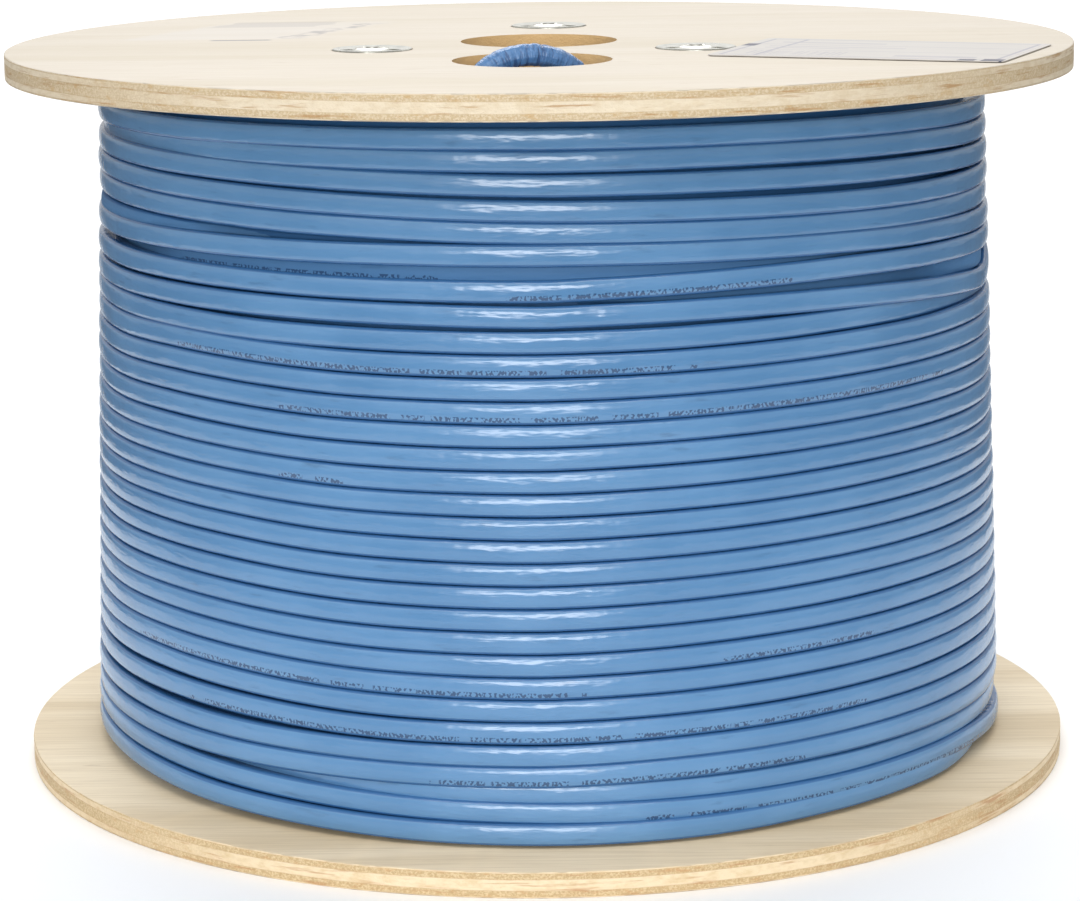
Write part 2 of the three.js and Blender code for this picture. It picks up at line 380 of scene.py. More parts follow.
def jacket_material(name, creased=False, buried=False):
    """Satin blue PVC with a slightly uneven skin, and plain printed dashes where the mesh asks.

    The buried layers are rougher, where the turns have rubbed against each other, and their blue is
    darkened towards a deep blue as painted shade, since they lie in shadow between the turns. The
    sides of each turn in the grooves are darkened as painted shade too. The mesh's print attribute is
    how far round the section, in metres, the printing runs, or 0.
    """
    shader = Shader(name, roughness=0.3)
    along = shader.node("ShaderNodeUVMap", {"uv_map": "along"}).outputs["UV"]
    cloud = shader.noise(shader.place(), 22, detail=2)
    mottle = shader.step(cloud, 0.3, 0.7)
    around = shader.axes(along)[1]
    if creased:
        # Painted shade: the start tail's blue is darker than that of the wound turns, and its creases are
        # painted a near-black blue.
        blue = shader.mix(mottle, (0.055, 0.150, 0.345, 1), (0.080, 0.200, 0.420, 1))
        folds = shader.noise(shader.stretched(along, (640, 120, 1), rotation=0.25), 1, detail=3)
        painted_crease_shade = shader.times(shader.step(folds, 0.52, 0.64), 0.7)
        blue = shader.mix(painted_crease_shade, blue, (0.018, 0.055, 0.160, 1))
    else:
        blue = shader.mix(mottle, (0.086, 0.216, 0.408, 1), (0.105, 0.248, 0.452, 1))
        grime = shader.noise(along, (60, 300, 1), detail=4)
        blue = shader.mix(shader.step(grime, 0.60, 0.8), blue, (0.074, 0.178, 0.33, 1))
        # Painted shade: the sides that the neighbouring turns press on, down in the grooves between the
        # turns, are mixed towards a deep blue.
        off_crown = shader.distance(around, CROWN_WIDTH / 2)
        pressed = shader.step(off_crown, CROWN_WIDTH / 2 + 0.15 * MM, CROWN_WIDTH / 2 + 0.7 * MM)
        blue = shader.mix(pressed, blue, PAINTED_SHADE_BLUE)

    marks = shader.noise(along, (1050, 700, 1), detail=1, roughness=0.3)
    words = shader.noise(along, (110, 0, 1), detail=1)
    printed = shader.node("ShaderNodeAttribute", {"attribute_name": "print"}).outputs["Fac"]
    on_line = shader.band(around, printed, 1.6 * MM, 0.3 * MM)
    on_line = shader.times(on_line, shader.step(printed, 0.1 * MM, 0.2 * MM))
    ink = shader.times(shader.step(marks, 0.47, 0.54), shader.step(words, 0.38, 0.42))
    ink = shader.times(shader.times(ink, on_line), 0.75)
    # Painted shade: the buried layers' blue is mixed towards the deep shade blue.
    if buried:
        blue = shader.mix(0.4, blue, PAINTED_SHADE_BLUE)
    shader.colour(shader.mix(ink, blue, (0.012, 0.035, 0.10, 1)))

    skin = shader.noise(along, (75, 330, 1), detail=2, roughness=0.5)
    ripple = shader.noise(along, (190, 120, 1), detail=1)
    if creased:
        shader.bump(shader.maths("SUBTRACT", skin, folds), 1.0 * MM)
    else:
        shader.bump(shader.maths("ADD", skin, shader.times(ripple, 0.6)), 0.32 * MM)
    smoothest = 0.16
    shine = 0.65
    if creased:
        smoothest = 0.28
    if buried:
        smoothest = 0.5
        shine = 0.2
    shader.roughness(shader.maths("ADD", smoothest, shader.times(cloud, 0.14)))
    shader.principled.inputs["Specular IOR Level"].default_value = shine
    return shader.material


def inside_holes(shader, place):
    """1 on the walls of the arbor hole and the start hole, which are painted a darker tan as shade inside
    the holes.
    """
    walls = []
    for centre, radius in (((0, 0), ARBOR_HOLE_RADIUS), (START_HOLE_CENTRE, START_HOLE_RADIUS)):
        flat = shader.vector_maths("MULTIPLY_ADD", place, (1, 1, 0), (-centre[0], -centre[1], 0))
        distance = shader.vector_maths("LENGTH", flat.outputs[0]).outputs["Value"]
        walls.append(shader.maths("LESS_THAN", distance, radius + 1 * MM))
    return shader.largest(*walls)


def old_label(shader, x, y):
    """The pasted remains of a blank label, as a mask of its paste and a mask of its faint dark lines, of
    which the line along its near edge is a painted shadow of that edge.
    """
    x = shader.times(x, 1 / MM)
    y = shader.times(y, 1 / MM)
    near_y = 17
    depth = shader.maths("DIVIDE", shader.maths("SUBTRACT", y, near_y), 82)
    wander = shader.noise(shader.place(), 90, detail=2)
    wander = shader.times(shader.maths("SUBTRACT", wander, 0.5), 14)
    left = shader.maths("ADD", shader.times(depth, 34), -167)
    across = shader.maths("ADD", shader.maths("SUBTRACT", x, left), wander)
    inside = shader.ridge(across, -2, 6, 64, 78)
    inside = shader.times(inside, shader.step(depth, 0.0, 0.12))
    inside = shader.times(inside, shader.inverse(shader.step(depth, 0.95, 1.15)))

    # Painted shadow: a dark line along the near edge of the old label.
    painted_near_edge_shadow = shader.times(shader.band(y, near_y, 2.2, 1.6), shader.band(x, -116, 20, 3))
    blots = shader.step(shader.noise(shader.place(), 170, detail=1), 0.38, 0.60)
    side_edge = shader.times(shader.band(across, 66, 5.0, 4.0), shader.band(depth, 0.52, 0.72, 0.12))
    side_edge = shader.times(side_edge, blots)
    patch = shader.times(shader.band(across, 28, 42, 3), shader.band(depth, 0.92, 0.26, 0.05))
    ink = shader.largest(shader.times(painted_near_edge_shadow, 0.8), shader.times(side_edge, 0.5),
                         shader.times(patch, 0.22))
    return shader.times(inside, 0.45), ink


def plywood_material(name, low, tone, stamped=False):
    """Five plies: face plies and core run along X, the two dark cross plies run along Y."""
    shader = Shader(name, roughness=0.6)
    place = shader.place()
    x, y, z = shader.axes(place)
    normal = shader.axes(shader.node("ShaderNodeTexCoord").outputs["Normal"])
    facing_x, facing_y, facing_z = [shader.maths("ABSOLUTE", share) for share in normal]
    on_face = shader.step(facing_z, 0.35, 0.75)

    # Face veneer: long grain with broad bands, fine fibres and a few dark flecks.
    bands = shader.noise(place, (2.2, 22, 8), detail=3, distortion=0.6)
    fibres = shader.noise(place, (26, 900, 900), detail=3, roughness=0.65)
    flecks = shader.noise(place, (60, 420, 420), detail=2)
    face = shader.mix(shader.step(bands, 0.35, 0.68), tone["pale"], tone["warm"])
    face = shader.mix(shader.times(shader.step(fibres, 0.35, 0.75), tone["fibre"]), face, tone["grain"])
    face = shader.mix(shader.times(shader.step(flecks, 0.68, 0.78), 0.35), face, tone["fleck"])

    # Sawn edge: which plies show end grain depends on the way that the edge faces.
    height = shader.maths("DIVIDE", shader.maths("SUBTRACT", z, low), FLANGE_THICKNESS)
    waver = shader.times(shader.maths("SUBTRACT", shader.noise(place, 18, detail=2), 0.5), 0.05)
    height = shader.maths("ADD", height, waver)
    off_centre = shader.distance(height, 0.5)
    in_cross_ply = shader.ridge(off_centre, 0.20, 0.23, 0.43, 0.455)
    end_grain = shader.mix(in_cross_ply, facing_x, facing_y)
    end_grain = shader.step(end_grain, 0.45, 0.85)
    pores = shader.noise(place, (1100, 1100, 1300), detail=3, roughness=0.7)
    tears = shader.noise(place, (190, 190, 420), detail=3, roughness=0.6)
    long_grain = shader.mix(shader.step(tears, 0.4, 0.7), tone["edge_light"], tone["edge_mid"])
    end_colour = shader.mix(shader.step(pores, 0.42, 0.62), tone["end_dark"], tone["end_mid"])
    end_colour = shader.mix(shader.times(shader.step(tears, 0.55, 0.72), 0.7), end_colour, tone["end_rust"])
    edge = shader.mix(end_grain, long_grain, end_colour)
    inner_glue = shader.ridge(off_centre, 0.19, 0.205, 0.215, 0.23)
    outer_glue = shader.ridge(off_centre, 0.415, 0.43, 0.44, 0.455)
    glue = shader.times(shader.maths("ADD", inner_glue, outer_glue), 0.45)
    edge = shader.mix(glue, edge, tone["glue"])
    streaks = shader.noise(place, (45, 45, 700), detail=3, roughness=0.6)
    streaks = shader.times(shader.step(streaks, 0.54, 0.72), 0.75)
    edge = shader.mix(streaks, edge, tone["streak"])
    # Painted shade: the walls inside the arbor hole and the start hole are a darker tan.
    edge = shader.mix(inside_holes(shader, place), edge, BORE_WALL_SHADE)

    if stamped:
        paste, ink = old_label(shader, x, y)
        face = shader.mix(paste, face, rgb(204, 199, 194))
        # The dark lines include a painted shadow along the old label's near edge.
        face = shader.mix(ink, face, rgb(116, 112, 120))
    shader.colour(shader.mix(on_face, edge, face))
    faint_fibres = shader.times(fibres, 0.25)
    relief = shader.mix(on_face, shader.maths("ADD", pores, tears), faint_fibres)
    shader.bump(relief, 0.35 * MM)
    shader.roughness(shader.maths("ADD", 0.5, faint_fibres))
    return shader.material


PALE_PLY = {
    "pale": rgb(205, 196, 182), "warm": rgb(199, 189, 171), "fibre": 0.28,
    "grain": rgb(182, 167, 144), "fleck": rgb(162, 140, 110), "glue": rgb(184, 158, 118),
    "edge_light": rgb(225, 211, 186), "edge_mid": rgb(216, 199, 170), "end_dark": rgb(196, 174, 138),
    "end_mid": rgb(214, 197, 167), "end_rust": rgb(195, 162, 113), "streak": rgb(172, 130, 78),
}
TAN_PLY = {
    "pale": rgb(235, 218, 188), "warm": rgb(211, 190, 155), "fibre": 0.36,
    "grain": rgb(184, 161, 129), "fleck": rgb(172, 144, 110), "glue": rgb(179, 147, 108),
    "edge_light": rgb(228, 209, 176), "edge_mid": rgb(216, 194, 155), "end_dark": rgb(188, 161, 118),
    "end_mid": rgb(211, 189, 149), "end_rust": rgb(193, 151, 103), "streak": rgb(178, 130, 84),
}
# Painted shade for the walls inside the holes.
BORE_WALL_SHADE = rgb(222, 186, 132)


def drum_material():
    """Grey-brown paper board, wound in a spiral."""
    shader = Shader("fibre_tube", roughness=0.8)
    place = shader.place()
    x, y, z = shader.axes(place)
    azimuth = shader.maths("ARCTAN2", y, x)
    climb = shader.times(z, 1 / (110 * MM))
    turn = shader.maths("ADD", shader.maths("DIVIDE", azimuth, 2 * pi), climb)
    seam = shader.step(shader.distance(shader.maths("FRACT", turn), 0.5), 0.485, 0.498)
    fibre = shader.noise(place, (240, 240, 900), detail=4)
    board = shader.mix(shader.step(fibre, 0.35, 0.7), rgb(150, 112, 72), rgb(178, 140, 98))
    shader.colour(shader.mix(shader.times(seam, 0.7), board, rgb(96, 68, 42)))
    shader.bump(shader.maths("SUBTRACT", fibre, seam), 0.3 * MM)
    return shader.material


def zinc_material():
    """Bright zinc plate with faint drawing marks and a few dull spots."""
    shader = Shader("zinc_plated_steel", roughness=0.3, metallic=1.0)
    place = shader.place()
    cloud = shader.noise(place, 260, detail=3)
    fine = shader.noise(place, 1500, detail=2)
    shader.colour(shader.mix(shader.step(cloud, 0.35, 0.75), rgb(187, 186, 177), rgb(156, 155, 148)))
    shader.roughness(shader.maths("ADD", 0.2, shader.times(cloud, 0.22)))
    shader.bump(shader.maths("ADD", cloud, shader.times(fine, 0.3)), 0.12 * MM)
    return shader.material


def copper_material():
    shader = Shader("copper_ends", roughness=0.3, metallic=1.0)
    cloud = shader.noise(shader.place(), 900, detail=2)
    shader.colour(shader.mix(cloud, rgb(222, 148, 104), rgb(184, 104, 66)))
    return shader.material


def floor_material():
    shader = Shader("studio_floor", roughness=0.7)
    cloud = shader.noise(shader.place(), 1.5, detail=2)
    shader.colour(shader.mix(cloud, grey(0.95), grey(0.97)))
    return shader.material


JACKET = jacket_material("cable_jacket")
CREASED_JACKET = jacket_material("cable_jacket_creased", creased=True)
BURIED_JACKET = jacket_material("cable_jacket_buried", buried=True)
ZINC = zinc_material()
COPPER = copper_material()
DRUM_BOARD = drum_material()


# ---- The cable's start end, which arches over the drum wall ----

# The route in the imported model: millimetres, with heights measured from the top flange's outer face.
START_TAIL_ROUTE = (
    (-21.4, -89.6, -5.2),
    (-19.6, -88.9, -3.3),
    (-16.8, -87.8, -1.3),
    (-12.4, -86.0, 0.6),
    (-6.8, -83.8, 1.7),
    (-1.0, -81.3, 1.6),
    (5.0, -78.7, 0.2),
    (10.6, -76.0, -2.8),
    (15.2, -73.8, -7.4),
    (18.2, -72.3, -13.4),
    (19.8, -71.8, -20.0),
    (21.4, -71.6, -32.0),
    (24.4, -70.6, -55.0),
    (28.6, -68.8, -85.0),
    (33.4, -66.2, -118.0),
    (37.6, -63.4, -150.0),
    (40.4, -60.8, -182.0),
    (41.4, -59.2, -208.0),
)


def blend(first, second, low, high, value):
    """Straight from first at low to second at high."""
    return first * ((high - value) / (high - low)) + second * ((value - low) / (high - low))


def smooth_route(points, steps):
    """Points on a centripetal Catmull-Rom curve through points, with steps between each pair."""
    first = points[0] * 2 - points[1]
    last = points[-1] * 2 - points[-2]
    padded = [first] + points + [last]
    route = []
    for index in range(1, len(padded) - 2):
        p0, p1, p2, p3 = padded[index - 1:index + 3]
        t0 = 0
        t1 = sqrt((p1 - p0).length)
        t2 = t1 + sqrt((p2 - p1).length)
        t3 = t2 + sqrt((p3 - p2).length)
        for step in range(steps):
            t = t1 + (t2 - t1) * step / steps
            a1 = blend(p0, p1, t0, t1, t)
            a2 = blend(p1, p2, t1, t2, t)
            a3 = blend(p2, p3, t2, t3, t)
            b1 = blend(a1, a2, t0, t2, t)
            b2 = blend(a2, a3, t1, t3, t)
            route.append(blend(b1, b2, t1, t2, t))
    route.append(points[-1])
    return route


def route_frames(route):
    """Two directions across the route at each point, carried along it without twisting."""
    frames = []
    side = None
    for index, point in enumerate(route):
        before = route[max(index - 1, 0)]
        after = route[min(index + 1, len(route) - 1)]
        along = (after - before).normalized()
        side = Vector((0, 0, 1)) if side is None else side
        side = (side - along * side.dot(along)).normalized()
        frames.append((side, along.cross(side)))
    return frames


def add_conductors(name, centre, along, side):
    """Four twisted pairs of bare-ended wires that stick out of a cut cable end."""
    across = along.cross(side)
    verts = []
    faces = []
    wire_radius = 0.45 * MM
    corners = 8
    for wire in range(8):
        pair_angle = pi / 2 * (wire // 2)
        twist = pair_angle * 2 + pi * (wire % 2)
        reach = (4.5 + 1.3 * sin(wire * 2.1)) * MM
        out = side * cos(pair_angle) + across * sin(pair_angle)
        turned = side * cos(twist) + across * sin(twist)
        root = centre + out * 1.7 * MM + turned * 0.5 * MM
        start = len(verts)
        for share in (0, 1):
            middle = root + along * (reach * share) + out * (0.6 * MM * share)
            for corner in range(corners):
                angle = 2 * pi * corner / corners
                verts.append(middle + (side * cos(angle) + across * sin(angle)) * wire_radius)
        for corner in range(corners):
            after = (corner + 1) % corners
            faces.append((start + corner, start + after, start + corners + after, start + corners + corner))
        faces.append(tuple(start + corners + corner for corner in range(corners)))
    return make_piece(name, verts, faces, COPPER)


def add_start_tail():
    points = [Vector((x * MM, y * MM, TOP_FACE + z * MM)) for x, y, z in START_TAIL_ROUTE]
    route = smooth_route(points, 18)
    frames = route_frames(route)
    sides = 28
    travelled = travelled_along(route)
    sections = []
    for distance in travelled:
        # The foil screen under the jacket buckles where the cable bends over the drum wall.
        bent = bump_between(distance / MM, 2, 8, 44, 58)
        section = []
        for side in range(sides):
            angle = 2 * pi * side / sides
            fold = sin(2 * pi * distance / (4.4 * MM) + 1.6 * sin(angle))
            spot = Vector((distance / (1.4 * MM), 1.6 * cos(angle), 1.6 * sin(angle)))
            radius = CABLE_RADIUS + bent * (0.09 * fold + 0.16 * noise.noise(spot)) * MM
            section.append((radius * cos(angle), radius * sin(angle)))
        sections.append(section)

    def uv_of(index, side):
        return (travelled[index], 2 * pi * CABLE_RADIUS * side / sides)

    verts, faces, uvs = tube(route, frames, sections, uv_of)
    tail = make_piece("start_tail", verts, faces, CREASED_JACKET, uvs)
    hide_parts("cable_start_tail")
    along = (route[-1] - route[-2]).normalized()
    wires = add_conductors("start_tail_conductors", route[-1], along, frames[-1][0])


add_start_tail()


# ---- The wound cable ----

# The outer layer from the front, in millimetres: (turn, height in front, how much higher it lies at 60
# degrees to the left and to the right, how far it bows up between the front and the right side).
# Turns between two rows are evenly spaced.
TURN_HEIGHTS = (
    (0, 255.6, -1.1, -2.8, 0.8),
    (1, 248.2, 0.3, -3.7, 1.6),
    (2, 240.1, 2.6, -4.1, 1.4),
    (3, 231.5, 3.2, -3.9, 0.4),
    (4, 223.9, 3.0, -3.9, 0.4),
    (5, 216.4, -1.7, -4.4, 0.9),
    (6, 204.2, 0.0, -1.6, 2.8),
    (7, 195.3, 0.2, -5.7, 3.4),
    (8, 186.7, 0.7, -0.7, 1.3),
    (9, 178.7, 0.8, -0.1, 1.0),
    (13, 146.5, 1.0, -0.2, 1.6),
    (17, 114.3, 1.7, 0.0, 1.65),
    (20, 90.2, 1.4, -0.2, 1.9),
    (24, 58.0, 2.1, -0.1, 2.0),
    (25, 50.0, 1.1, -0.1, 1.7),
    (26, 41.9, 0.1, -0.2, 1.8),
    (27, 34.6, -0.9, -0.9, 1.9),
    (28, 28.0, 3.0, -2.0, 1.3),
    (29, 21.4, 4.4, -2.2, 0.75),
    (30, 14.2, 3.5, 0.4, 0.9),
)
LAST_TURN = TURN_COUNT - 1
BOW_END = 74
OUTER_END = -165
OUTER_END_HEIGHT = 261.0
STEPS_A_TURN = 190
DEGREES_A_STEP = 1.8
WINDING_SHIFT_X = 0.9 * MM
# The coil's radius at a height near the top, and how much it grows per millimetre downwards.
COIL_RADIUS = 169.7
COIL_HEIGHT = 250
COIL_TAPER = 0.0348


def turn_row(turn):
    """Height in front, the lift at the left and right, and the bow on the right, of a whole turn."""
    for low, high in zip(TURN_HEIGHTS, TURN_HEIGHTS[1:]):
        if low[0] <= turn <= high[0]:
            share = (turn - low[0]) / (high[0] - low[0])
            return [a + (b - a) * share for a, b in zip(low[1:], high[1:])]
    return TURN_HEIGHTS[-1][1:]


def front_height(turn, azimuth):
    """Height in millimetres of a turn's centre at an azimuth from -90 to 90 degrees."""
    front, left, right, bow = turn_row(turn)
    side = sin(radians(azimuth)) / sin(radians(60))
    height = front + (right - left) / 2 * side + (right + left) / 2 * side * side
    height += bow * sin(pi * min(max(azimuth, 0), BOW_END) / BOW_END)
    if 9 <= turn <= 25:
        height += 0.8 * bump_between(-azimuth, 22, 45, 50, 66)
    if turn == 6:
        height += 0.8 * ramp(azimuth, 50, 80)
    if turn == 7:
        height += 5.5 * ramp(azimuth, 74, 90)
    if turn == 29:
        height -= 4.5 * ramp(azimuth, 58, 88)
    return height


def turn_height(turn, azimuth):
    """As front_height, and beyond 90 degrees it leads over to the next turn at -90 degrees."""
    if azimuth <= 90:
        if azimuth < -90:
            start = min(front_height(turn, -90) + 1.5, OUTER_END_HEIGHT)
            return start + (front_height(turn, -90) - start) * ramp(azimuth, -180, -90)
        return front_height(turn, azimuth)
    here = front_height(turn, 90)
    if turn >= LAST_TURN:
        return here
    return here + (front_height(turn + 1, -90) - here) * ramp(azimuth, 90, 270)


def front_depth(turn, azimuth):
    """How far in millimetres a turn is sunk between its neighbours, from -90 to 90 degrees."""
    depth = 0.0
    if turn == 1:
        depth += 2.2 * ramp(-azimuth, 30, 70)
    if turn == 4:
        depth += 0.5 * bump_between(azimuth, -150, -60, 60, 150)
    if turn == 8:
        depth += 2.4 * bump_between(azimuth, 15, 66, 70, 92)
    if turn == 28:
        depth += 1.2 + 5.5 * bump_between(-azimuth, 12, 52, 80, 100)
    if turn == 30:
        depth += 7.0 * ramp(azimuth, 52, 84)
        depth -= 1.6 * bump_between(azimuth, -70, -40, 18, 34)
    return depth


def turn_depth(turn, azimuth):
    """As front_depth, and beyond 90 degrees it leads over to the next turn's depth at -90 degrees."""
    if azimuth <= 90 or turn >= LAST_TURN:
        return front_depth(turn, azimuth)
    here = front_depth(turn, 90)
    return here + (front_depth(turn + 1, -90) - here) * ramp(azimuth, 90, 270)


def layer_radius(height):
    """Outer radius in millimetres of the wound coil at a height in millimetres."""
    return COIL_RADIUS + (COIL_HEIGHT - height) * COIL_TAPER


def winding_point(turn, azimuth):
    """Centre of the cable, which wanders a little from turn to turn."""
    height = turn_height(turn, azimuth)
    radius = layer_radius(height) - CABLE_RADIUS / MM - turn_depth(turn, azimuth)
    loop = radians(azimuth)
    ring = Vector((cos(loop), sin(loop), 0)) * 2.2
    # The drifts grow evenly with the azimuth, so the wander has no break from turn to turn.
    slow_drift = Vector((0, 0, turn * 0.35 + azimuth / 1030))
    quick_drift = Vector((5.1, 2.3, turn * 3.7 + azimuth / 97))
    height += 0.22 * noise.noise(ring * 1.6 + slow_drift)
    radius += 0.30 * noise.noise(ring * 1.3 + quick_drift)
    return around(radius, height, azimuth)


def around(radius, height, azimuth):
    """A point at a radius and height in millimetres, at an azimuth in degrees from -Y towards +X."""
    place = outward(azimuth) * radius * MM
    return Vector((WINDING_SHIFT_X + place.x, place.y, height * MM))


def outward(azimuth):
    angle = radians(azimuth)
    return Vector((sin(angle), -cos(angle), 0))


# Stretches where the printing on the jacket faces the camera: (turn, first and last azimuth in degrees).
PRINTED_STRETCHES = (
    (6, -4, 30),
    (9, -50, 17),
    (11, -33, 56),
    (14, -33, -25),
    (22, 20, 42),
    (23, -58, 3),
    (25, -48, 40),
    (27, -13, 30),
    (29, 12, 68),
)
PRINT_LINE = 0.75 * MM
BURIED_PRINT_LINE = 1.4 * MM


def print_line(turn, azimuth):
    """How far round the section the printing runs, or 0 where it faces away."""
    shown = any(turn == row and first < azimuth < last for row, first, last in PRINTED_STRETCHES)
    return PRINT_LINE if shown else 0.0


def arc(centre_out, centre_up, radius_out, radius_up, angles):
    """Points on a round or oval arc, at angles in degrees from outward towards upward."""
    points = []
    for angle in map(radians, angles):
        points.append((centre_out + radius_out * cos(angle), centre_up + radius_up * sin(angle)))
    return points


def cable_section():
    """Points of a wound turn's section as (outward, upward), from its lower outer side and up.

    Winding tension has flattened the outer face, so it is a low crown between two small corners,
    and a narrow gap is left between neighbouring turns.
    """
    crown = 12.0
    crown_half_width = 2.8
    half_height = 3.95
    edge_angle = asin(crown_half_width / crown)
    edge_x = CABLE_RADIUS / MM - crown + crown * cos(edge_angle)
    edge_z = crown * sin(edge_angle)
    corner = (half_height - edge_z) / (1 - sin(edge_angle))
    corner_x = edge_x - corner * cos(edge_angle)
    corner_z = half_height - corner
    steepest = degrees(edge_angle)
    crown_angles = [steepest * share for share in (-1, -0.5, 0, 0.5, 1)]
    section = arc(CABLE_RADIUS / MM - crown, 0, crown, crown, crown_angles)
    section += arc(corner_x, corner_z, corner, corner, (41, 65, 90))
    section += arc(0, 0, CABLE_RADIUS / MM, half_height, (120, 150, 180, 210, 240))
    section += arc(corner_x, -corner_z, corner, corner, (-90, -65, -41))
    return [(out * MM, up * MM) for out, up in section]


TURN_SECTION = cable_section()


def add_cable_run(name, centres, azimuths, printed, jacket):
    """A stretch of cable along centres, with the azimuth and the printing's place at each."""
    upward = Vector((0, 0, 1))
    sections = [TURN_SECTION] * len(centres)
    sides = len(TURN_SECTION)
    corners = [Vector(corner) for corner in TURN_SECTION]
    round_distance = travelled_along(corners + corners[:1])
    frames = [(outward(azimuth), upward) for azimuth in azimuths]
    travelled = travelled_along(centres)

    def uv_of(index, side):
        return (travelled[index], round_distance[side])

    verts, faces, uvs = tube(centres, frames, sections, uv_of)
    piece = make_piece(name, verts, faces, jacket, uvs, sharp_angle=60)
    marks = piece.data.attributes.new("print", "FLOAT", "POINT")
    for index, value in enumerate(printed):
        for side in range(sides):
            marks.data[index * sides + side].value = value
    return piece


def add_outer_layer():
    """One continuous cable, from its outer end behind the top turn to where it dives under the last."""
    places = []
    for turn in range(TURN_COUNT):
        first = OUTER_END if turn == 0 else -90
        last = 100 if turn == LAST_TURN else 270
        steps = round(STEPS_A_TURN * (last - first) / 360)
        for step in range(steps):
            places.append((turn, first + (last - first) * step / steps))
    centres = [winding_point(turn, azimuth) for turn, azimuth in places]
    azimuths = [azimuth for turn, azimuth in places]
    printed = [print_line(turn, azimuth) for turn, azimuth in places]
    return add_cable_run("cable_outer_layer", centres, azimuths, printed, JACKET)


def between(knots, value):
    """Smoothly leads from one (value, result) knot to the next."""
    for (low, first), (high, second) in zip(knots, knots[1:]):
        if value <= high:
            return first + (second - first) * ramp(value, low, high)
    return knots[-1][1]


def add_crossing(name, heights, depths, printed_stretch=(0, 0)):
    """A stretch of the layer below that shows in a gap between two turns.

    heights and depths are (azimuth in degrees, millimetres) knots.
    """
    first = heights[0][0]
    last = heights[-1][0]
    steps = round((last - first) / DEGREES_A_STEP)
    azimuths = [first + (last - first) * step / steps for step in range(steps + 1)]
    centres = []
    for azimuth in azimuths:
        height = between(heights, azimuth)
        radius = layer_radius(height) - CABLE_RADIUS / MM - between(depths, azimuth)
        centres.append(around(radius, height, azimuth))
    start, end = printed_stretch
    printed = [BURIED_PRINT_LINE if start < azimuth < end else 0.0 for azimuth in azimuths]
    return add_cable_run(name, centres, azimuths, printed, BURIED_JACKET)


def add_inner_layers():
    """The closed ring of turns under the outer layer, with each turn's round back."""
    low = (BOTTOM_INNER_FACE + CLEARANCE) / MM
    high = (TOP_INNER_FACE - CLEARANCE) / MM
    pitch = (high - low) / TURN_COUNT
    outline = []
    points_a_turn = 6
    buried = 11.2
    unrolled_radius = 0.16
    for turn in range(TURN_COUNT):
        for point in range(points_a_turn):
            share = (point + 0.5) / points_a_turn
            height = low + (turn + share) * pitch
            swell = sqrt(max(0.0, 1 - (2 * share - 1) ** 2))
            radius = layer_radius(height) - buried + CABLE_RADIUS / MM * swell
            outline.append((radius * MM, height * MM))
    outline = [(outline[0][0] - 3 * MM, low * MM)] + outline + [(outline[-1][0] - 3 * MM, high * MM)]
    inner = DRUM_RADIUS + CLEARANCE
    outline += [(inner, high * MM), (inner, low * MM)]
    mesh = lathe_mesh("cable_inner_layers", outline, 150)
    mesh.transform(Matrix.Translation((WINDING_SHIFT_X * 0.3, 0, 0)))
    layer = mesh.uv_layers.new(name="along")
    for loop in mesh.loops:
        x, y, z = mesh.vertices[loop.vertex_index].co
        layer.data[loop.index].uv = (atan2(y, x) * unrolled_radius, z)
    return finish_piece("cable_inner_layers", mesh, BURIED_JACKET, sharp_angle=60)


def add_winding():
    outer = add_outer_layer()
    inner = add_inner_layers()
    add_crossing(
        "cable_crossing_left",
        ((-150, 216.5), (-85, 218.4), (-60, 218.6), (-48, 218.2), (-36, 217.5), (-20, 216.5)),
        ((-150, 8.0), (-110, 1.6), (-80, 1.0), (-60, 1.2), (-51, 2.6), (-42, 6.5), (-20, 8.0)),
    )
    add_crossing(
        "cable_crossing_middle",
        ((-95, 209.0), (-60, 209.4), (0, 210.0), (55, 209.0)),
        ((-95, 8.0), (-66, 7.0), (-50, 3.6), (-20, 3.4), (20, 3.8), (55, 8.0)),
        printed_stretch=(-50, -12),
    )
    add_crossing(
        "cable_crossing_right",
        ((4, 202.5), (28, 201.0), (47, 199.8), (60, 198.0), (70, 197.0), (100, 197.0)),
        ((4, 8.0), (20, 6.8), (54, 6.2), (63, 2.8), (73, 1.0), (79, 2.5), (84, 8.0)),
    )
    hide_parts("cable_winding")
    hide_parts("cable_winding")
    upward = Vector((0, 0, 1))
    end = winding_point(0, OUTER_END)
    behind = (end - winding_point(0, OUTER_END + 2)).normalized()
    add_conductors("outer_end_conductors", end, behind, upward)


add_winding()


# ---- Flanges ----

RIM_SEGMENTS = 720


def rim_wear(angle, row):
    """Small uneven wear of a sawn plywood rim."""
    ring = Vector((cos(angle), sin(angle), 0.0))
    fine = noise.noise(ring * 90 + Vector((0, 0, row * 2.7)))
    broad = noise.noise(ring * 14 + Vector((3.0, 0, row * 0.9)))
    return -(0.10 + 0.09 * fine + 0.05 * broad) * MM


def flange_blank(low):
    high = low + FLANGE_THICKNESS
    chamfer = 0.6 * MM
    rounding = [(0, 0), (0.45, 0.08), (0.8, 0.3), (0.95, 0.7)]
    outline = [(ARBOR_HOLE_RADIUS, low)]
    outline += [(FLANGE_RADIUS - chamfer * (1 - x), low + chamfer * z) for x, z in rounding]
    for step in range(1, 12):
        outline.append((FLANGE_RADIUS, low + chamfer + (FLANGE_THICKNESS - 2 * chamfer) * step / 12))
    outline += [(FLANGE_RADIUS - chamfer * (1 - x), high - chamfer * z) for x, z in reversed(rounding)]
    outline += [(ARBOR_HOLE_RADIUS, high)]
    rim_rows = range(2, len(outline) - 2)

    def wobble(angle, row):
        return rim_wear(angle, row) if row in rim_rows else 0.0

    return lathe_mesh("flange", outline, RIM_SEGMENTS, wobble=wobble)


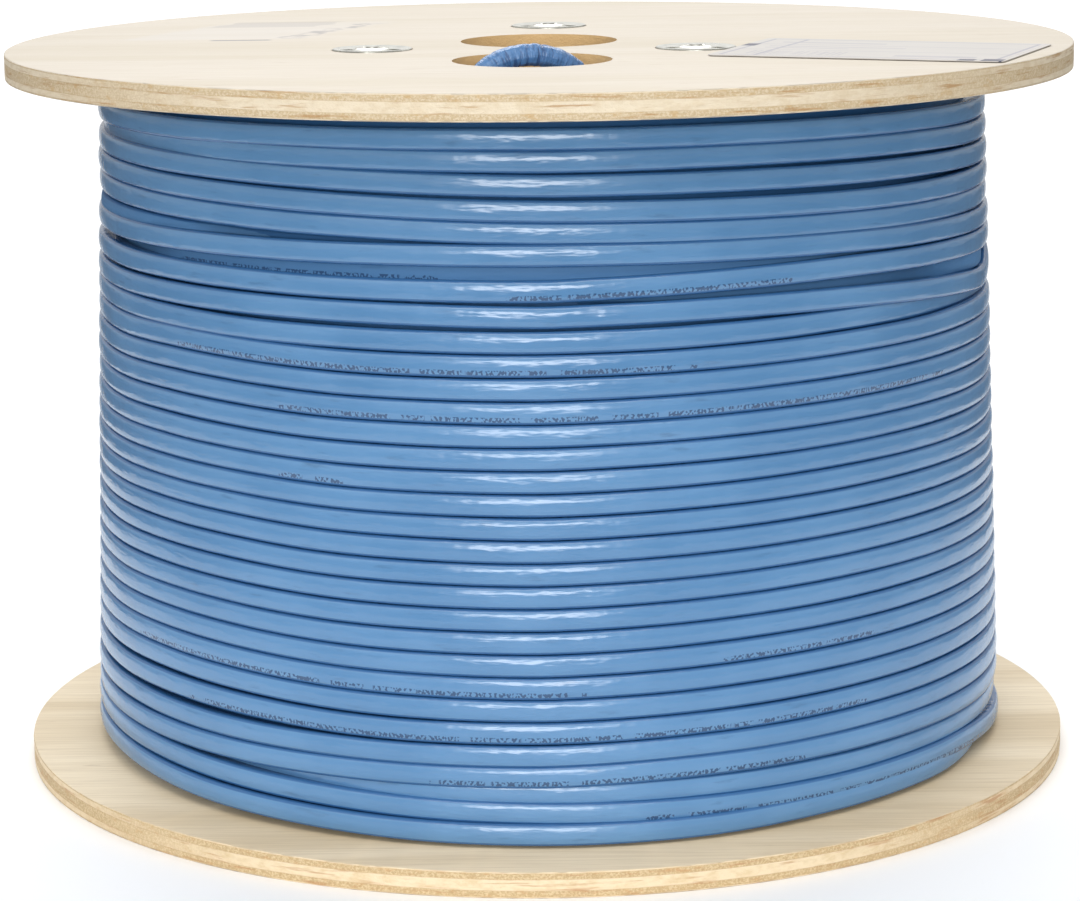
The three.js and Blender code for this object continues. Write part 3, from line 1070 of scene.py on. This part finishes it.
def drum_groove(low, high):
    inner = DRUM_RADIUS - DRUM_WALL - CLEARANCE
    outer = DRUM_RADIUS + CLEARANCE
    return lathe_mesh("groove", [(inner, low), (outer, low), (outer, high), (inner, high)], 180)


def bolt_places():
    """Each tie bolt's axis as (x, y, its azimuth in radians from +X)."""
    places = []
    for number in range(1, BOLT_COUNT + 1):
        washer = middle_of(f"bolt_washer_{number}")
        places.append((washer.x, washer.y, atan2(washer.y, washer.x)))
    return places


BOLT_PLACES = bolt_places()
PRONG_TURNS = (0, 2 * pi / 3, 4 * pi / 3)


def place_on_bolt(mesh, place):
    x, y, angle = place
    mesh.transform(Matrix.Translation((x, y, 0)) @ Matrix.Rotation(angle, 4, "Z"))


def block_mesh(size_x, size_y, low, high, centre_x=0.0, turn=0.0):
    mesh = bpy.data.meshes.new("block")
    form = bmesh.new()
    bmesh.ops.create_cube(form, size=1.0)
    bmesh.ops.scale(form, vec=(size_x, size_y, high - low), verts=form.verts)
    bmesh.ops.translate(form, vec=(centre_x, 0, (low + high) / 2), verts=form.verts)
    form.to_mesh(mesh)
    form.free()
    mesh.transform(Matrix.Rotation(turn, 4, "Z"))
    return mesh


def add_bottom_flange(material):
    past = 1 * MM
    cutters = [drum_groove(BOTTOM_INNER_FACE - DRUM_GROOVE_DEPTH, BOTTOM_INNER_FACE + past)]
    for x, y, _ in BOLT_PLACES:
        cutters.append(cylinder_mesh(BOLT_RADIUS + CLEARANCE, -past, BOTTOM_INNER_FACE + past, (x, y), 32))
        cutters.append(cylinder_mesh(COUNTERBORE_RADIUS, -past, COUNTERBORE_DEPTH, (x, y), 64))
    mesh = cut(flange_blank(BOTTOM_LOW[2]), cutters)
    flange = finish_piece("bottom_flange_board", mesh, material)
    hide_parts("bottom_flange")


def add_top_flange(material):
    past = 1 * MM
    cutters = [drum_groove(TOP_INNER_FACE - past, TOP_INNER_FACE + DRUM_GROOVE_DEPTH)]
    cutters.append(cylinder_mesh(START_HOLE_RADIUS, TOP_INNER_FACE - past, TOP_FACE + past,
                                 START_HOLE_CENTRE, 128))
    for x, y, angle in BOLT_PLACES:
        cutters.append(cylinder_mesh(TEE_BARREL_RADIUS + CLEARANCE, TOP_INNER_FACE - past, TOP_FACE + past,
                                     (x, y), 40))
        cutters.append(cylinder_mesh(TEE_DISC_RADIUS + CLEARANCE, TOP_FACE - TEE_SEAT_DEPTH, TOP_FACE + past,
                                     (x, y), 84))
        for turn in PRONG_TURNS:
            pocket = block_mesh(4.2 * MM, 4.0 * MM, TOP_FACE - 4 * MM, TOP_FACE + past, 9.9 * MM, turn)
            place_on_bolt(pocket, (x, y, angle))
            cutters.append(pocket)
    mesh = cut(flange_blank(TOP_LOW[2]), cutters)
    flange = finish_piece("top_flange_board", mesh, material)
    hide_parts("top_flange")


add_bottom_flange(plywood_material("plywood_bottom", BOTTOM_LOW[2], TAN_PLY))
add_top_flange(plywood_material("plywood_top", TOP_LOW[2], PALE_PLY, stamped=True))


# ---- Drum ----

def add_drum():
    wall_low = DRUM_LOW[2]
    wall_high = DRUM_HIGH[2]
    inner = DRUM_RADIUS - DRUM_WALL
    ease = 0.5 * MM
    outline = [
        (inner + ease, wall_low), (DRUM_RADIUS - ease, wall_low), (DRUM_RADIUS, wall_low + ease),
        (DRUM_RADIUS, wall_high - ease), (DRUM_RADIUS - ease, wall_high),
        (inner + ease, wall_high), (inner, wall_high - ease), (inner, wall_low + ease),
    ]
    drum = finish_piece("drum_board", lathe_mesh("drum", outline, 180), DRUM_BOARD)
    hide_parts("drum_tube")


add_drum()


# ---- Tie bolts, washers and tee nuts ----

def add_hardware(name, mesh, place, *nodes):
    """A zinc-plated piece on a tie bolt's axis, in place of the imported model's nodes."""
    place_on_bolt(mesh, place)
    piece = finish_piece(name, mesh, ZINC)
    for node in nodes:
        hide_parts(node)


def add_bolt(number, place):
    low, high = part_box(f"tie_bolt_{number}")
    head_low = low[2]
    head_high = head_low + 2.9 * MM
    end = high[2]
    dome = [(0.0, 0.0), (3.0, 0.08), (5.2, 0.35), (6.6, 0.9), (7.3, 1.6), (7.5, 2.2)]
    outline = [(max(radius, 0.01) * MM, head_low + height * MM) for radius, height in dome]
    outline += [(BOLT_HEAD_RADIUS, head_high - 0.2 * MM), (BOLT_HEAD_RADIUS - 0.2 * MM, head_high),
                (BOLT_RADIUS - 0.2 * MM, head_high)]
    pitch = 1.27 * MM
    thread_start = end - 26 * MM
    outline += [(BOLT_RADIUS - 0.2 * MM, thread_start - pitch)]
    turns = int((end - 0.9 * MM - thread_start) / pitch)
    for turn in range(turns):
        base = thread_start + turn * pitch
        outline += [(BOLT_RADIUS - 0.55 * MM, base), (BOLT_RADIUS, base + pitch * 0.4),
                    (BOLT_RADIUS, base + pitch * 0.6)]
    outline += [(BOLT_RADIUS - 0.5 * MM, end - 0.7 * MM), (BOLT_RADIUS - 1.0 * MM, end), (0.01 * MM, end)]
    mesh = lathe_mesh("bolt", outline, 40, closed=False)
    recess_high = head_low + 1.6 * MM
    recess_low = head_low - 1 * MM
    mesh = cut(mesh, [block_mesh(7 * MM, 1.4 * MM, recess_low, recess_high),
                      block_mesh(1.4 * MM, 7 * MM, recess_low, recess_high)])
    add_hardware(f"bolt_{number}", mesh, place, f"tie_bolt_{number}")


def add_washer(number, place):
    low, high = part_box(f"bolt_washer_{number}")
    hole = BOLT_RADIUS + CLEARANCE
    rim = (high[0] - low[0]) / 2
    ease = 0.25 * MM
    outline = [
        (hole, low[2]), (rim - ease, low[2]), (rim, low[2] + ease),
        (rim, high[2] - ease), (rim - ease, high[2]), (hole, high[2]),
    ]
    mesh = lathe_mesh("washer", outline, 72)
    add_hardware(f"washer_{number}", mesh, place, f"bolt_washer_{number}")


def add_tee_nut(number, place):
    """A pressed disc, a little dished, with a barrel, a raised collar and three bent prongs."""
    low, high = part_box(f"tee_nut_{number}")
    seat = low[2] + TEE_BARREL_LENGTH
    disc = TEE_DISC_RADIUS
    skin = 0.9 * MM
    dish = 0.2 * MM
    bore = BOLT_RADIUS + CLEARANCE
    collar_high = high[2]
    outline = [
        (bore, low[2]), (TEE_BARREL_RADIUS, low[2]), (TEE_BARREL_RADIUS, seat),
        (8 * MM, seat), (disc - 0.3 * MM, seat + dish), (disc, seat + dish + 0.3 * MM),
        (disc, seat + dish + skin - 0.3 * MM), (disc - 0.3 * MM, seat + dish + skin),
        (11 * MM, seat + skin + 0.05 * MM), (7.6 * MM, seat + skin), (6.7 * MM, seat + skin + 0.1 * MM),
        (6.2 * MM, collar_high - 0.2 * MM), (5.7 * MM, collar_high),
        (bore + 0.4 * MM, collar_high), (bore, collar_high - 0.3 * MM),
    ]
    mesh = lathe_mesh("tee_nut", outline, 84)
    windows = [block_mesh(4.6 * MM, 4.4 * MM, seat - 1 * MM, seat + 3 * MM, 9.9 * MM, turn)
               for turn in PRONG_TURNS]
    mesh = cut(mesh, windows)
    add_hardware(f"tee_nut_body_{number}", mesh, place, f"tee_nut_{number}")
    for prong, turn in enumerate(PRONG_TURNS, 1):
        blade = block_mesh(1.2 * MM, 3.4 * MM, seat - PRONG_LENGTH, seat + skin - 0.1 * MM, 11 * MM, turn)
        form = bmesh.new()
        form.from_mesh(blade)
        bmesh.ops.bevel(form, geom=form.edges[:], offset=0.3 * MM, segments=3, affect="EDGES", profile=0.5)
        form.to_mesh(blade)
        form.free()
        add_hardware(f"tee_nut_prong_{number}_{prong}", blade, place)


for bolt_number, bolt_place in enumerate(BOLT_PLACES, 1):
    add_bolt(bolt_number, bolt_place)
    add_washer(bolt_number, bolt_place)
    add_tee_nut(bolt_number, bolt_place)


# ---- Label ----

LABEL_TURN = radians(-22)


def label_material():
    """White paper with a grey outline, a few ruled lines and plain bars in place of any words.

    Places and sizes on the label are in millimetres from its middle.
    """
    shader = Shader("label_paper", roughness=0.45)
    middle = middle_of("spool_label")
    offset = shader.vector_maths("SUBTRACT", shader.place(), middle)
    local = shader.stretched(offset.outputs[0], (1 / MM, 1 / MM, 1 / MM))
    turned = shader.node("ShaderNodeVectorRotate", {"rotation_type": "Z_AXIS"}, Vector=local,
                         Angle=-LABEL_TURN)
    x, y = shader.axes(turned.outputs[0])[:2]

    def line(value, at, width):
        return shader.band(value, at, width, 0.25)

    def box(low_x, high_x, low_y, high_y):
        across = line(x, (low_x + high_x) / 2, high_x - low_x)
        upward = line(y, (low_y + high_y) / 2, high_y - low_y)
        return shader.times(across, upward)

    outer = box(-51.5, 51.5, -33.5, 33.5)
    inner = box(-50.2, 50.2, -32.2, 32.2)
    frame_line = shader.maths("SUBTRACT", outer, inner)
    frame_line = shader.largest(frame_line, shader.times(line(x, -38, 1.3), inner))
    rules = shader.times(shader.largest(line(y, 12, 0.9), line(y, -10, 0.9)), inner)
    grid = shader.noise(turned.outputs[0], (0.9, 0.0, 0.0), detail=0)
    bars = shader.times(shader.step(grid, 0.48, 0.52), box(-44, -8, -28, -15))
    rows = shader.largest(box(-44, -4, 19, 22), box(-44, 8, 3, 5), box(-44, -12, -3, -1),
                          box(12, 42, -28, -22))
    marks = shader.largest(box(38, 44, -36.6, -31), box(46.5, 54, -36.6, -29), box(-55, -50, 3, 12))
    paper = shader.mix(shader.noise(shader.place(), 40, detail=3), rgb(178, 173, 167), rgb(189, 184, 178))
    ink = shader.largest(shader.times(frame_line, 0.7), shader.times(rules, 0.4),
                         shader.times(shader.largest(bars, rows), 0.4))
    paper = shader.mix(ink, paper, rgb(132, 130, 146))
    shader.colour(shader.mix(marks, paper, rgb(44, 44, 70)))
    shader.bump(shader.noise(shader.place(), 500, detail=3), 0.03 * MM)
    return shader.material


def dress_label():
    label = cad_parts["spool_label"]
    material = label_material()
    for material_slot in label.material_slots:
        material_slot.material = material


dress_label()


# ---- Floor, light and world ----

BACKDROP_DIP = radians(9)


def add_floor():
    """A round pale board, large enough to fill the view around the reel's foot."""
    middle = 0.001
    radius = 0.62
    base = -0.02
    outline = [(middle, 0.0), (0.2, 0.0), (0.4, 0.0), (radius, 0.0), (radius, base), (middle, base)]
    mesh = lathe_mesh("floor", outline, 96)
    mesh.materials.append(floor_material())
    add_object("floor", mesh)


def add_soft_light(name, place, aim, width, height, power):
    data = bpy.data.lights.new(name, "AREA")
    data.shape = "RECTANGLE"
    data.size = width
    data.size_y = height
    data.energy = power
    light = add_object(name, data)
    direction = Vector(aim) - Vector(place)
    light.matrix_world = Matrix.Translation(place) @ direction.to_track_quat("-Z", "Y").to_matrix().to_4x4()


def add_world():
    """A dim studio with a bright plain backdrop behind the reel."""
    world = bpy.data.worlds.new("world")
    bpy.context.scene.world = world
    world.use_nodes = True
    nodes = Nodes(world.node_tree)
    direction = nodes.node("ShaderNodeTexCoord").outputs["Generated"]
    backdrop_aim = (0, cos(BACKDROP_DIP), -sin(BACKDROP_DIP))
    aim = nodes.vector_maths("DOT_PRODUCT", direction, backdrop_aim).outputs["Value"]
    backdrop = nodes.step(aim, cos(radians(24)), cos(radians(14)))
    height = nodes.axes(direction)[2]
    above = nodes.step(height, -0.04, 0.04, shape="LINEAR")
    room = nodes.mix(above, grey(0.134), grey(0.615))
    shade = nodes.mix(backdrop, room, grey(1.15))
    nodes.put(shade, world.node_tree.nodes["Background"].inputs["Color"])


add_floor()
add_world()
add_soft_light("front_light", (-0.13, -2.2, 0.5), (0, 0, 0.14), 1.15, 0.5, 21.5)
add_soft_light("left_light", (-1.5, -1.5, 1.5), (0, 0, 0.14), 1.2, 1.2, 3.7)
add_soft_light("high_front_light", (0, -1.5, 2.0), (0, 0, 0.14), 2.0, 1.0, 18.6)
add_soft_light("high_back_light", (0, 1.8, 1.9), (0, 0, 0.2), 2.4, 1.0, 41)
bpy.context.scene.view_settings.view_transform = "Standard"
